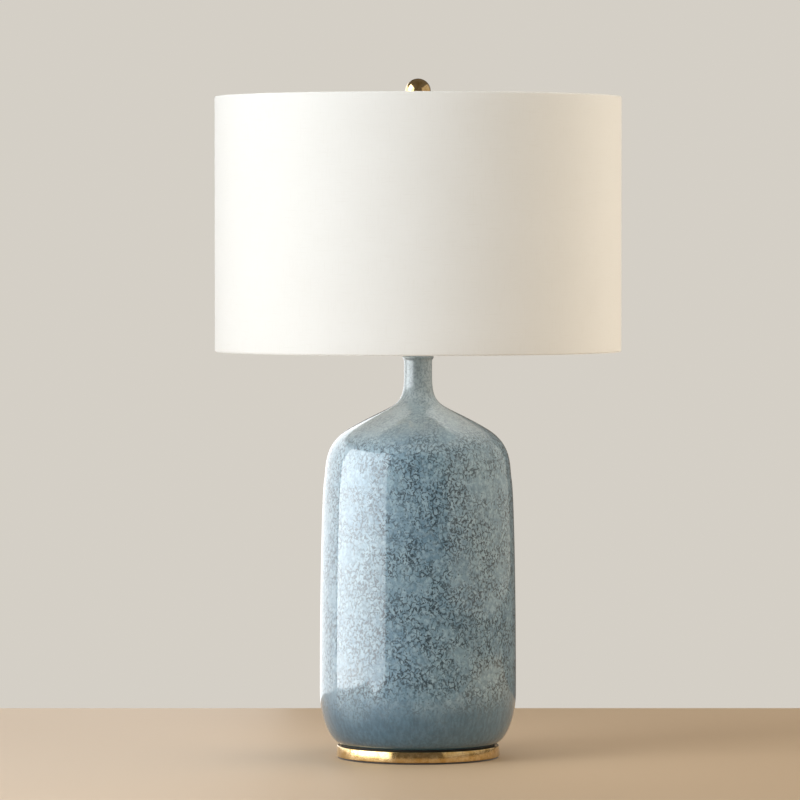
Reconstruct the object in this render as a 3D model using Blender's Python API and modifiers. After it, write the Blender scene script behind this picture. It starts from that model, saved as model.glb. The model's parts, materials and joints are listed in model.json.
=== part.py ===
"""Table lamp: a glazed bottle body on a brass plinth, with a harp, a drum shade and a ball finial.

Metres, +Z up. The origin is the centre of the felt pad's underside, where the lamp meets the table.
Every turned piece is centred on Z unless its section says otherwise. The harp stands in the XZ plane,
the switch knob points along -Y and the cable inlet along +Y.
"""

import math

import bmesh
import bpy
from mathutils import Matrix, Vector
from mathutils.geometry import interpolate_bezier

MM = 0.001
INCH = 0.0254

# ---------------------------------------------------------------- driving dimensions
GAP = 0.3 * MM  # between two pieces that touch

SHADE_RADIUS = 8 * INCH
SHADE_HEIGHT = 10 * INCH
SHADE_BOTTOM = 405.8 * MM

PLINTH_RADIUS = 82.0 * MM
PLINTH_HEIGHT = 10.8 * MM
FELT_THICKNESS = 1.3 * MM
GASKET_THICKNESS = 1.0 * MM

BODY_HEIGHT = 388.0 * MM
BODY_RADIUS = 98.0 * MM
BODY_WALL = 4.8 * MM
FOOT_RADIUS = 77.5 * MM
NECK_RADIUS = 14.0 * MM
LIP_RADIUS = 15.6 * MM

ROD_RADIUS = 4.8 * MM  # 1/8 IP lamp pipe
ROD_HOLE = ROD_RADIUS + GAP
HARP_HEIGHT = 239.2 * MM  # from the saddle's underside to the seat of the shade
HARP_WIRE = 1.6 * MM
STUD_RADIUS = 3.05 * MM  # 1/4-27 thread
FINIAL_RADIUS = 0.5 * INCH
BULB_RADIUS = 30.0 * MM  # A19 bulb
BULB_CAP_RADIUS = 13.1 * MM  # E26 screw cap

ROUND = 40  # sides of a large turned piece
MEDIUM_ROUND = 24
SMALL_ROUND = 16  # sides of a small one
SHADE_ROUND = 48

# ---------------------------------------------------------------- levels up the axis
PLINTH_BOTTOM = FELT_THICKNESS + GAP
PLINTH_TOP = PLINTH_BOTTOM + PLINTH_HEIGHT
BASE_GASKET_BOTTOM = PLINTH_TOP + GAP
BODY_FOOT = BASE_GASKET_BOTTOM + GASKET_THICKNESS + GAP
BODY_TOP = BODY_FOOT + BODY_HEIGHT
NECK_GASKET_BOTTOM = BODY_TOP + GAP
CAP_BOTTOM = NECK_GASKET_BOTTOM + GASKET_THICKNESS + GAP
CAP_THICKNESS = 2.4 * MM
SADDLE_BOTTOM = CAP_BOTTOM + CAP_THICKNESS + GAP
SADDLE_THICKNESS = 1.8 * MM
NUT_BOTTOM = SADDLE_BOTTOM + SADDLE_THICKNESS + GAP
NUT_THICKNESS = 3.0 * MM
SOCKET_BOTTOM = NUT_BOTTOM + NUT_THICKNESS + GAP
SEAT_TOP = SADDLE_BOTTOM + HARP_HEIGHT
SHADE_TOP = SHADE_BOTTOM + SHADE_HEIGHT


# ---------------------------------------------------------------- building tools
def new_collection(name):
    found = bpy.data.collections.new(name)
    bpy.context.scene.collection.children.link(found)
    return found


def new_material(name, colour, roughness, metallic=0.0):
    """A Principled material with that colour (linear RGB), roughness and metallic value."""
    made = bpy.data.materials.new(name)
    made.use_nodes = True
    shader = made.node_tree.nodes["Principled BSDF"]
    shader.inputs["Base Color"].default_value = (*colour, 1.0)
    shader.inputs["Roughness"].default_value = roughness
    shader.inputs["Metallic"].default_value = metallic
    return made


def place(obj, finish):
    """Puts a piece in the lamp's collection, with its finish."""
    for old in list(obj.users_collection):
        old.objects.unlink(obj)
    PARTS.objects.link(obj)
    obj.data.materials.clear()
    obj.data.materials.append(finish)
    return obj


def place_cutter(obj):
    for old in list(obj.users_collection):
        old.objects.unlink(obj)
    CUTTERS.objects.link(obj)
    obj.hide_render = True
    obj.display_type = "WIRE"
    return obj


def object_from(name, bm):
    mesh = bpy.data.meshes.new(name)
    bm.to_mesh(mesh)
    bm.free()
    obj = bpy.data.objects.new(name, mesh)
    bpy.context.scene.collection.objects.link(obj)
    return obj


def shade_round(mesh):
    mesh.shade_smooth()
    mesh.set_sharp_from_angle(angle=math.radians(32))


def curve_points(knots, per_span):
    """Points along a chain of cubic Bezier spans: knots holds anchor, handle, handle, anchor, and so on."""
    found = [Vector((*knots[0], 0))]
    for first in range(0, len(knots) - 3, 3):
        anchors = [Vector((*knot, 0)) for knot in knots[first : first + 4]]
        found += interpolate_bezier(*anchors, per_span + 1)[1:]
    return [(point.x, point.y) for point in found]


def arc(centre, radius, start, end, count):
    """Points (radius, height) on an arc, with its angles in degrees."""
    angles = [math.radians(start + (end - start) * i / (count - 1)) for i in range(count)]
    return [(centre[0] + radius * math.cos(a), centre[1] + radius * math.sin(a)) for a in angles]


def offset_inwards(points, distance):
    """An outline that runs down its outer side, moved towards the axis by a wall's thickness."""
    moved = []
    for i, (r, z) in enumerate(points):
        before = points[max(i - 1, 0)]
        after = points[min(i + 1, len(points) - 1)]
        along = Vector((after[0] - before[0], after[1] - before[1])).normalized()
        moved.append((r + along.y * distance, z - along.x * distance))
    return moved


def turned(name, outline, finish, steps=ROUND, solid=False, at=(0, 0, 0), turn=(0, 0, 0)):
    """A piece turned about its own Z: outline runs down the outer side, then up the bore.

    A solid piece has no bore, and its outline starts and ends on the axis.
    """
    bm = bmesh.new()
    points = [bm.verts.new((r, 0, z)) for r, z in outline]
    for first, second in zip(points, points[1:]):
        bm.edges.new((first, second))
    if not solid:
        bm.edges.new((points[-1], points[0]))
    obj = object_from(name, bm)
    screw = obj.modifiers.new("Screw", "SCREW")
    screw.steps = steps
    screw.render_steps = steps
    screw.use_merge_vertices = True
    screw.merge_threshold = 0.00001
    bpy.context.view_layer.objects.active = obj
    bpy.ops.object.modifier_apply(modifier=screw.name)
    shade_round(obj.data)
    obj.location = at
    obj.rotation_euler = [math.radians(angle) for angle in turn]
    return place(obj, finish)


def ring_outline(inner, outer, bottom, top, chamfer=0.0):
    """The outline of a flat ring, washer or sleeve."""
    return [
        (inner, top),
        (outer - chamfer, top),
        (outer, top - chamfer),
        (outer, bottom + chamfer),
        (outer - chamfer, bottom),
        (inner, bottom),
    ] if chamfer else [(inner, top), (outer, top), (outer, bottom), (inner, bottom)]


def disc_outline(radius, bottom, top):
    return [(0, top), (radius, top), (radius, bottom), (0, bottom)]


def prism(name, sides, radius, low, high, finish=None, axis="Z"):
    """A closed cylinder, or a nut's hexagon, from one point of its axis to another."""
    bm = bmesh.new()
    length = (Vector(high) - Vector(low)).length
    bmesh.ops.create_cone(
        bm, cap_ends=True, segments=sides, radius1=radius, radius2=radius, depth=length
    )
    turn = {"X": Matrix.Rotation(math.pi / 2, 4, "Y"), "Y": Matrix.Rotation(math.pi / 2, 4, "X")}
    bmesh.ops.transform(bm, matrix=turn.get(axis, Matrix()), verts=bm.verts)
    obj = object_from(name, bm)
    obj.location = (Vector(low) + Vector(high)) / 2
    if finish is None:
        return place_cutter(obj)
    shade_round(obj.data)
    return place(obj, finish)


def block(name, low, high, finish=None):
    """A box between two corners, as a piece or, with no finish, as a cutter."""
    bm = bmesh.new()
    size = Vector(high) - Vector(low)
    bmesh.ops.create_cube(bm, size=1, matrix=Matrix.Diagonal((*size, 1)))
    obj = object_from(name, bm)
    obj.location = (Vector(low) + Vector(high)) / 2
    return place(obj, finish) if finish else place_cutter(obj)


def tube(name, points, radius, finish, resolution=2):
    """A round wire along points, with closed ends."""
    curve = bpy.data.curves.new(name, "CURVE")
    curve.dimensions = "3D"
    curve.bevel_depth = radius
    curve.bevel_resolution = resolution
    curve.use_fill_caps = True
    spline = curve.splines.new("POLY")
    spline.points.add(len(points) - 1)
    for point, place_at in zip(spline.points, points):
        point.co = (*place_at, 1)
        point.radius = 1
    spline.use_smooth = True
    obj = bpy.data.objects.new(name, curve)
    bpy.context.scene.collection.objects.link(obj)
    return place(obj, finish)


def flat_bar(name, outline, half_width, finish):
    """A strip whose edge has that outline in the XZ plane, as wide as twice half_width along Y."""
    curve = bpy.data.curves.new(name, "CURVE")
    curve.dimensions = "2D"
    curve.fill_mode = "BOTH"
    curve.extrude = half_width
    spline = curve.splines.new("POLY")
    spline.points.add(len(outline) - 1)
    for point, (x, z) in zip(spline.points, outline):
        point.co = (x, z, 0, 1)
    spline.use_cyclic_u = True
    obj = bpy.data.objects.new(name, curve)
    obj.rotation_euler.x = math.pi / 2
    bpy.context.scene.collection.objects.link(obj)
    return as_mesh(place(obj, finish))


def as_mesh(curve_object):
    """The same piece as a mesh with its end caps welded on, so that it can take a Boolean."""
    bpy.context.view_layer.update()
    evaluated = curve_object.evaluated_get(bpy.context.evaluated_depsgraph_get())
    mesh = bpy.data.meshes.new_from_object(evaluated)
    bm = bmesh.new()
    bm.from_mesh(mesh)
    bmesh.ops.remove_doubles(bm, verts=bm.verts, dist=0.00001)
    bmesh.ops.recalc_face_normals(bm, faces=bm.faces)
    bm.to_mesh(mesh)
    bm.free()
    shade_round(mesh)
    name, finish = curve_object.name, curve_object.data.materials[0]
    world = curve_object.matrix_world.copy()
    bpy.data.objects.remove(curve_object)
    obj = bpy.data.objects.new(name, mesh)
    obj.matrix_world = world
    bpy.context.scene.collection.objects.link(obj)
    return place(obj, finish)


def boolean(target, tool, operation="DIFFERENCE"):
    modifier = target.modifiers.new(tool.name, "BOOLEAN")
    modifier.operation = operation
    modifier.object = tool
    return target


# ---------------------------------------------------------------- the base
def make_base():
    """Felt pad, brass plinth with its cable inlet, and the nut that clamps the lamp together."""
    turned("felt_pad", disc_outline(PLINTH_RADIUS - 1.6 * MM, 0, FELT_THICKNESS), FELT, solid=True)

    wall = 2.0 * MM
    edge = 1.0 * MM
    inner = PLINTH_RADIUS - wall
    plate = PLINTH_TOP - wall
    outline = [(ROD_HOLE, PLINTH_TOP)]
    outline += arc((PLINTH_RADIUS - edge, PLINTH_TOP - edge), edge, 90, 0, 3)
    outline += arc((PLINTH_RADIUS - edge, PLINTH_BOTTOM + edge), edge, 0, -90, 3)
    outline += [(inner, PLINTH_BOTTOM), (inner, plate), (ROD_HOLE, plate)]
    plinth = turned("base_plinth", outline, BRASS, SHADE_ROUND)

    inlet_height = (PLINTH_BOTTOM + PLINTH_TOP) / 2
    sleeve, bore, flange = 4.0 * MM, 3.2 * MM, 4.9 * MM
    tip = PLINTH_RADIUS + 1.8 * MM
    boolean(plinth, prism(
        "inlet_cutter", SMALL_ROUND, sleeve + GAP,
        (0, inner - 5 * MM, inlet_height), (0, tip, inlet_height), axis="Y",
    ))
    outline = [
        (bore, 0), (flange - 0.6 * MM, 0), (flange, -0.6 * MM), (flange, -1.5 * MM),
        (sleeve, -1.5 * MM), (sleeve, -5.8 * MM), (bore, -5.8 * MM),
    ]
    turned("cable_bushing", outline, NYLON, SMALL_ROUND, at=(0, tip, inlet_height), turn=(-90, 0, 0))

    outline = ring_outline(FOOT_RADIUS - 16 * MM, FOOT_RADIUS - 0.5 * MM,
                           BASE_GASKET_BOTTOM, BASE_GASKET_BOTTOM + GASKET_THICKNESS)
    turned("base_gasket", outline, RUBBER)

    washer_top = plate - GAP
    washer_bottom = washer_top - 1.2 * MM
    outline = ring_outline(ROD_HOLE, 11.0 * MM, washer_bottom, washer_top)
    turned("bottom_washer", outline, STEEL, SMALL_ROUND)
    hex_nut("bottom_nut", washer_bottom - GAP - 3.6 * MM, washer_bottom - GAP)
    outline = ring_outline(3.4 * MM, ROD_RADIUS, FELT_THICKNESS + 2.0 * MM, SOCKET_BOTTOM + 5.5 * MM)
    turned("lamp_pipe", outline, STEEL, SMALL_ROUND)


def hex_nut(name, bottom, top):
    """A hexagon nut on the lamp pipe, 15 mm across its flats."""
    nut = prism(name, 6, 7.5 * MM / math.cos(math.pi / 6), (0, 0, bottom), (0, 0, top), BRASS_HARDWARE)
    bore = prism(name + "_cutter", SMALL_ROUND, ROD_HOLE, (0, 0, bottom - MM), (0, 0, top + MM))
    return boolean(nut, bore)


# ---------------------------------------------------------------- the ceramic body
def body_curve(per_span):
    """The bottle's outer side from the top of the neck to the foot: radius, height above the table."""
    knots = [
        (NECK_RADIUS, 368.0 * MM), (NECK_RADIUS, 333.0 * MM),
        (24.0 * MM, 341.5 * MM), (69.0 * MM, 314.5 * MM),  # the sloping shoulder
        (95.0 * MM, 299.0 * MM), (91.3 * MM, 277.0 * MM),
        (93.6 * MM, 264.0 * MM),  # where the side starts to turn in
        (95.9 * MM, 251.0 * MM), (BODY_RADIUS, 155.0 * MM),
        (BODY_RADIUS, 53.0 * MM),
        (BODY_RADIUS, 16.0 * MM), (84.0 * MM, 1.0 * MM),
        (FOOT_RADIUS, 0),
    ]
    return [(r, z + BODY_FOOT) for r, z in curve_points(knots, per_span)]


def make_body():
    """A slip-cast bottle with a rolled lip, open at the neck and round the pipe at the foot."""
    lip = 1.8 * MM
    outer = arc((LIP_RADIUS - lip, BODY_TOP - lip), lip, 90, -60, 4)
    outer += [(NECK_RADIUS, BODY_TOP - 5.0 * MM)]
    outer += body_curve(4)
    inner = offset_inwards(body_curve(2), BODY_WALL)[:-1]
    floor = BODY_FOOT + BODY_WALL
    foot_hole = 20.0 * MM
    inner += [(FOOT_RADIUS - 2 * MM, floor), (foot_hole, floor), (foot_hole, BODY_FOOT)]
    bore = NECK_RADIUS - BODY_WALL
    outline = outer + inner[::-1] + [(bore, BODY_TOP - 1.0 * MM), (bore + 1.0 * MM, BODY_TOP)]
    turned("ceramic_body", outline, GLAZE)


# ---------------------------------------------------------------- on top of the neck
def make_neck():
    """Cap, harp saddle and lock nut, clamped on the lip by the lamp pipe."""
    top = NECK_GASKET_BOTTOM + GASKET_THICKNESS
    outline = ring_outline(ROD_RADIUS + MM, LIP_RADIUS - 3.4 * MM, NECK_GASKET_BOTTOM, top)
    turned("neck_gasket", outline, RUBBER, SMALL_ROUND)

    edge = CAP_THICKNESS / 2
    cap_top = CAP_BOTTOM + CAP_THICKNESS
    outline = [(ROD_HOLE, cap_top)]
    outline += arc((LIP_RADIUS - edge, CAP_BOTTOM + edge), edge, 90, -90, 5)
    outline += [(ROD_HOLE, CAP_BOTTOM)]
    turned("neck_cap", outline, BRASS, MEDIUM_ROUND)

    make_saddle()
    hex_nut("saddle_nut", NUT_BOTTOM, NUT_BOTTOM + NUT_THICKNESS)


POST_X = 35.0 * MM  # from the axis to each end of the saddle, and each foot of the harp
SHOULDER = 7.7 * MM  # from the saddle's underside to the shoulders that the sleeves rest on
LAP_BOTTOM = SADDLE_BOTTOM + 9.7 * MM
LAP_TOP = LAP_BOTTOM + 8.0 * MM
LAP_GAP = GAP / 2  # from the plane of the half laps to each of their faces


def make_saddle():
    """A bent strip with a round post at each end. Each post's top is half cut away to take the harp."""
    half_width = 5.5 * MM
    half_thick = SADDLE_THICKNESS / 2
    bend = 6.0 * MM
    low = SADDLE_BOTTOM
    side = POST_X + half_thick
    right = arc((side - bend, low + bend), bend, -90, 0, 5)
    right += [(side, low + SHOULDER), (side - SADDLE_THICKNESS, low + SHOULDER)]
    right += arc((side - bend, low + bend), bend - SADDLE_THICKNESS, 0, -90, 5)
    outline = right + [(-x, z) for x, z in right[::-1]]
    saddle = flat_bar("harp_saddle", outline, half_width, BRASS_HARDWARE)
    hole = prism("saddle_hole_cutter", SMALL_ROUND, ROD_HOLE,
                 (0, 0, low - MM), (0, 0, low + SADDLE_THICKNESS + MM))
    boolean(saddle, hole)
    for side_name, way in (("left", -1), ("right", 1)):
        post = prism(f"saddle_post_{side_name}", 16, HARP_WIRE,
                     (way * POST_X, 0, low + SHOULDER - 2 * MM), (way * POST_X, 0, LAP_TOP - GAP))
        boolean(saddle, post, "UNION")
        near, far = way * (POST_X - LAP_GAP), way * (POST_X + 5 * MM)
        boolean(saddle, block(
            f"saddle_lap_{side_name}",
            (min(near, far), -5 * MM, LAP_BOTTOM - GAP), (max(near, far), 5 * MM, LAP_TOP + MM),
        ))
    return saddle


# ---------------------------------------------------------------- the lamp holder
SOCKET_CAP_TOP = SOCKET_BOTTOM + 17.3 * MM
SHELL_RADIUS = 16.6 * MM
SHELL_BOTTOM = SOCKET_CAP_TOP - 4.0 * MM
SHELL_TOP = SHELL_BOTTOM + 46.0 * MM
KNOB_LEVEL = SHELL_BOTTOM + 11.0 * MM
SWITCH_TOP = SHELL_BOTTOM + 19.0 * MM
CONTACT_LEVEL = SWITCH_TOP + GAP


def make_socket():
    """An E26 brass shell holder with a turn-knob switch."""
    hub, hub_top = 7.6 * MM, SOCKET_BOTTOM + 4.6 * MM
    wide, wall = 17.8 * MM, 0.8 * MM
    flare = [(wide, SOCKET_CAP_TOP - 5.0 * MM), (wide, hub_top + 3 * MM), (hub + 4 * MM, hub_top + MM),
             (hub, hub_top)]
    outline = [(wide, SOCKET_CAP_TOP)] + curve_points(flare, 4) + [(hub, SOCKET_BOTTOM)]
    outline += [(ROD_HOLE, SOCKET_BOTTOM), (ROD_HOLE, hub_top + wall)]
    outline += [(r - wall, z + wall) for r, z in curve_points(flare, 4)[-2::-1]]
    outline += [(wide - wall, SOCKET_CAP_TOP)]
    cap = turned("socket_cap", outline, BRASS_HARDWARE, MEDIUM_ROUND)
    screw_level = SOCKET_BOTTOM + 2.3 * MM
    boolean(cap, prism("set_screw_cutter", 12, 1.5 * MM,
                       (0, ROD_RADIUS, screw_level), (0, 12 * MM, screw_level), axis="Y"))
    prism("socket_set_screw", 12, 1.2 * MM,
          (0, ROD_RADIUS + GAP, screw_level), (0, hub + MM, screw_level), STEEL, axis="Y")

    edge = 0.6 * MM
    outline = [(SHELL_RADIUS - 2 * edge, SHELL_TOP)]
    outline += arc((SHELL_RADIUS - edge, SHELL_TOP - edge), edge, 90, 0, 3)
    outline += [(SHELL_RADIUS, SHELL_BOTTOM), (SHELL_RADIUS - edge, SHELL_BOTTOM)]
    outline += [(SHELL_RADIUS - edge, SHELL_TOP - 2 * edge), (SHELL_RADIUS - 2 * edge, SHELL_TOP - edge)]
    shell = turned("socket_shell", outline, BRASS_HARDWARE, MEDIUM_ROUND)
    slot = block("spindle_slot_cutter", (-3.5 * MM, -20 * MM, SHELL_BOTTOM - MM),
                 (3.5 * MM, -10 * MM, KNOB_LEVEL + 4 * MM))
    boolean(shell, slot)

    sleeve_outer = SHELL_RADIUS - edge - GAP
    sleeve_inner = sleeve_outer - 0.8 * MM
    outline = ring_outline(sleeve_inner, sleeve_outer, SHELL_BOTTOM + 0.5 * MM, SHELL_TOP - 3 * MM)
    boolean(turned("insulating_sleeve", outline, FIBRE, MEDIUM_ROUND), slot)

    block_radius = sleeve_inner - 0.4 * MM
    switch = prism("switch_body", MEDIUM_ROUND, block_radius,
                   (0, 0, SHELL_BOTTOM + 0.5 * MM), (0, 0, SWITCH_TOP), PHENOLIC)
    flat = 11.5 * MM
    for side_name, way in (("left", -1), ("right", 1)):
        near, far = way * flat, way * 20 * MM
        boolean(switch, block(f"switch_flat_{side_name}_cutter",
                              (min(near, far), -20 * MM, SHELL_BOTTOM - MM),
                              (max(near, far), 20 * MM, SWITCH_TOP - 4 * MM)))
    boolean(switch, prism("spindle_bore_cutter", 16, 2.3 * MM,
                          (0, -20 * MM, KNOB_LEVEL), (0, -5 * MM, KNOB_LEVEL), axis="Y"))
    for screw_name, way, finish in (("live", -1, BRASS_HARDWARE), ("neutral", 1, STEEL)):
        near, far = way * (flat + GAP), way * (flat + 2.1 * MM)
        level = SHELL_BOTTOM + 6 * MM
        prism(f"terminal_screw_{screw_name}", 16, 2.6 * MM,
              (min(near, far), 0, level), (max(near, far), 0, level), finish, axis="X")

    lining, floor = BULB_CAP_RADIUS + 0.6 * MM, 0.6 * MM
    top = SHELL_TOP - 4 * MM
    outline = [
        (lining, top), (lining + floor, top), (lining + floor, CONTACT_LEVEL),
        (6.5 * MM, CONTACT_LEVEL), (6.5 * MM, CONTACT_LEVEL + floor), (lining, CONTACT_LEVEL + floor),
    ]
    turned("screw_shell", outline, BRASS_HARDWARE, MEDIUM_ROUND)
    make_contact_spring()


def make_contact_spring():
    """The centre contact: a strip riveted at one end, whose free end rises to meet the bulb's tip."""
    thick = 0.5 * MM
    line = curve_points([(-5.0 * MM, 0.2 * MM), (-2.0 * MM, 0.2 * MM), (-1.5 * MM, 3.0 * MM),
                         (3.2 * MM, 3.0 * MM)], 6)
    outline = [(x, z + CONTACT_LEVEL) for x, z in line]
    outline += [(x, z + CONTACT_LEVEL + thick) for x, z in line[::-1]]
    flat_bar("centre_contact", outline, 2.2 * MM, BRASS_HARDWARE)


def make_switch():
    """The spindle and its knob, both turned about an axis along -Y."""
    knob_face, knob_root = -31.0 * MM, -19.5 * MM
    spindle_end = -23.0 * MM
    prism("switch_spindle", 16, 2.0 * MM,
          (0, spindle_end, KNOB_LEVEL), (0, -5.5 * MM, KNOB_LEVEL), BRASS_HARDWARE, axis="Y")
    length = knob_root - knob_face
    bore, depth = 2.3 * MM, knob_root - spindle_end + GAP
    outline = [
        (0, length), (4.6 * MM, length), (5.6 * MM, length - MM), (6.0 * MM, length - 3 * MM),
        (5.2 * MM, 4.0 * MM), (3.6 * MM, 2.0 * MM), (3.6 * MM, 0), (bore, 0), (bore, depth), (0, depth),
    ]
    turned("switch_knob", outline, BLACK_PLASTIC, SMALL_ROUND, solid=True,
           at=(0, knob_root, KNOB_LEVEL), turn=(90, 0, 0))


# ---------------------------------------------------------------- the bulb
def make_bulb():
    """An A19 LED bulb: tip contact, insulator, screw cap, housing, two boards and the diffuser."""
    tip_radius = 4.6 * MM
    tip_bottom = CONTACT_LEVEL + 3.5 * MM + GAP
    tip_top = tip_bottom + 2.0 * MM
    outline = [(0, tip_top), (tip_radius, tip_top), (4.1 * MM, tip_bottom + 0.8 * MM),
               (2.4 * MM, tip_bottom + 0.15 * MM), (0, tip_bottom)]
    turned("bulb_tip", outline, STEEL, SMALL_ROUND, solid=True)

    glass_bottom = tip_top + GAP
    glass_top = glass_bottom + 3.5 * MM
    outline = [(0, glass_top), (12.0 * MM, glass_top), (7.0 * MM, glass_bottom), (0, glass_bottom)]
    turned("bulb_insulator", outline, BLACK_PLASTIC, SMALL_ROUND, solid=True)

    cap_bottom = glass_top + GAP
    cap_top = cap_bottom + 19.0 * MM
    wall = 0.6 * MM
    outline = [
        (BULB_CAP_RADIUS - wall, cap_top), (BULB_CAP_RADIUS, cap_top),
        (BULB_CAP_RADIUS, cap_bottom + 2.5 * MM), (BULB_CAP_RADIUS - 0.7 * MM, cap_bottom),
        (BULB_CAP_RADIUS - 0.7 * MM - wall, cap_bottom),
        (BULB_CAP_RADIUS - wall, cap_bottom + 2.5 * MM),
    ]
    turned("bulb_screw_cap", outline, STEEL, MEDIUM_ROUND)

    globe_centre = tip_bottom + 110 * MM - BULB_RADIUS
    joint_angle = -42
    joint = arc((0, globe_centre), BULB_RADIUS, joint_angle, 0, 2)[0]
    lean = Vector((-math.sin(math.radians(joint_angle)), math.cos(math.radians(joint_angle))))
    low = cap_top + GAP
    handle = Vector(joint) - lean * 12 * MM
    side = curve_points([joint, tuple(handle), (BULB_CAP_RADIUS + 0.3 * MM, low + 11 * MM),
                         (BULB_CAP_RADIUS + 0.3 * MM, low)], 5)
    inner = offset_inwards(side, 1.4 * MM)
    inner[0] = (side[0][0] - 1.8 * MM, side[0][1])
    inner[-1] = (side[-1][0] - 1.4 * MM, side[-1][1])
    turned("bulb_housing", side + inner[::-1], WHITE_PLASTIC, MEDIUM_ROUND)

    board_top = joint[1] + 2.0 * MM
    turned("led_board", disc_outline(20.0 * MM, board_top - 1.6 * MM, board_top), BOARD, SMALL_ROUND,
           solid=True)
    block("led_driver_board", (-9.0 * MM, -0.8 * MM, low + 2 * MM), (9.0 * MM, 0.8 * MM, low + 26 * MM),
          BOARD)

    globe = arc((0, globe_centre), BULB_RADIUS, 90, joint_angle + 0.8, 10)
    globe[0] = (0, globe[0][1])
    hollow = arc((0, globe_centre), BULB_RADIUS - 1.2 * MM, joint_angle + 0.8, 90, 8)
    hollow[-1] = (0, hollow[-1][1])
    turned("bulb_diffuser", globe + hollow, DIFFUSER, MEDIUM_ROUND, solid=True)


# ---------------------------------------------------------------- the harp
def make_harp():
    """One bent wire with half-lapped feet, the post that carries the shade, and two lock sleeves."""
    widest, wide_level = 61.0 * MM, 520.0 * MM
    straight_top = LAP_TOP + 20 * MM
    crown = SEAT_TOP - 5.5 * MM
    knots = [
        (0, crown), (4 * MM, crown), (8 * MM, crown), (12 * MM, crown),
        (44 * MM, crown), (widest, crown - 50 * MM), (widest, wide_level),
        (widest, wide_level - 44 * MM), (POST_X, straight_top + 26 * MM), (POST_X, straight_top),
    ]
    half = curve_points(knots, 7)[7:] + [(POST_X, LAP_BOTTOM)]
    right = [(x, 0, z) for x, z in half]
    left = [(-x, 0, z) for x, z in half[::-1]]
    wire = as_mesh(tube("harp_wire", left + right, HARP_WIRE, BRASS_HARDWARE, 1))
    for side_name, way in (("left", -1), ("right", 1)):
        near, far = way * (POST_X + LAP_GAP), way * (POST_X - 5 * MM)
        boolean(wire, block(f"harp_lap_{side_name}", (min(near, far), -5 * MM, LAP_BOTTOM - MM),
                            (max(near, far), 5 * MM, LAP_TOP)))
        outline = [
            (2.0 * MM, 14.0 * MM), (3.0 * MM, 14.0 * MM), (3.0 * MM, 2.0 * MM), (3.6 * MM, 0.8 * MM),
            (3.6 * MM, 0), (2.0 * MM, 0),
        ]
        turned(f"harp_sleeve_{side_name}", outline, BRASS_HARDWARE, 16,
               at=(way * POST_X, 0, SADDLE_BOTTOM + SHOULDER + GAP))

    seat, hub = 10.0 * MM, 5.0 * MM
    seat_bottom = SEAT_TOP - 1.5 * MM
    stud_top = SEAT_TOP + 14.5 * MM
    outline = [
        (0, stud_top), (STUD_RADIUS - 0.6 * MM, stud_top), (STUD_RADIUS, stud_top - 0.6 * MM),
        (STUD_RADIUS, SEAT_TOP), (seat, SEAT_TOP), (seat, seat_bottom), (hub, seat_bottom),
        (hub, crown - 4 * MM), (0, crown - 4 * MM),
    ]
    post = turned("harp_post", outline, BRASS_HARDWARE, SMALL_ROUND, solid=True)
    boolean(post, prism("harp_post_cutter", 16, HARP_WIRE + GAP,
                        (-8 * MM, 0, crown), (8 * MM, 0, crown), axis="X"))


# ---------------------------------------------------------------- the shade
SPIDER_LEVEL = SEAT_TOP + GAP
SPIDER_THICKNESS = 1.5 * MM
FABRIC = 0.5 * MM
LINER = 0.8 * MM
RING_WIRE = 1.1 * MM
ARM_WIRE = 1.2 * MM
ARM_ANGLES = (30, 150, 270)


def make_shade():
    """A fabric drum over a stiff liner, held open by two wire rings. The spider hangs it on the harp."""
    fabric_inner = SHADE_RADIUS - FABRIC
    liner_outer = fabric_inner - GAP
    ring_radius = liner_outer - LINER - GAP - RING_WIRE
    hem_outer = ring_radius - RING_WIRE - GAP
    inset = FABRIC + GAP
    hem = 8.0 * MM  # how far the fabric's turned edge reaches down inside

    roll = 1.6 * MM
    margin = roll + GAP
    outline = ring_outline(liner_outer - LINER, liner_outer, SHADE_BOTTOM + margin, SHADE_TOP - margin)
    turned("shade_liner", outline, STYRENE, SHADE_ROUND)

    outer = arc((SHADE_RADIUS - roll, SHADE_TOP - roll), roll, 90, 0, 2)
    outer += arc((SHADE_RADIUS - roll, SHADE_BOTTOM + roll), roll, 0, -90, 2)
    lining = [
        (hem_outer - FABRIC, SHADE_BOTTOM), (hem_outer - FABRIC, SHADE_BOTTOM + hem),
        (hem_outer, SHADE_BOTTOM + hem), (hem_outer, SHADE_BOTTOM + FABRIC),
        (fabric_inner, SHADE_BOTTOM + roll), (fabric_inner, SHADE_TOP - roll),
        (hem_outer, SHADE_TOP - FABRIC), (hem_outer, SHADE_TOP - hem),
        (hem_outer - FABRIC, SHADE_TOP - hem), (hem_outer - FABRIC, SHADE_TOP),
    ]
    fabric = turned("shade_fabric", outer + lining, LINEN, SHADE_ROUND)

    ring_level = inset + 0.8 * MM + RING_WIRE
    for name, level in (("top", SHADE_TOP - ring_level), ("bottom", SHADE_BOTTOM + ring_level)):
        bpy.ops.mesh.primitive_torus_add(
            location=(0, 0, level), major_segments=SHADE_ROUND, minor_segments=6,
            major_radius=ring_radius, minor_radius=RING_WIRE,
        )
        ring = bpy.context.object
        ring.name = f"shade_{name}_ring"
        shade_round(ring.data)
        place(ring, WHITE_METAL)

    outline = ring_outline(5.5 * MM, 14.0 * MM, SPIDER_LEVEL, SPIDER_LEVEL + SPIDER_THICKNESS)
    turned("spider_washer", outline, WHITE_METAL, SMALL_ROUND)
    make_spider_arms(fabric, hem_outer, ring_radius - RING_WIRE - GAP, SHADE_TOP - ring_level)


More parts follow.
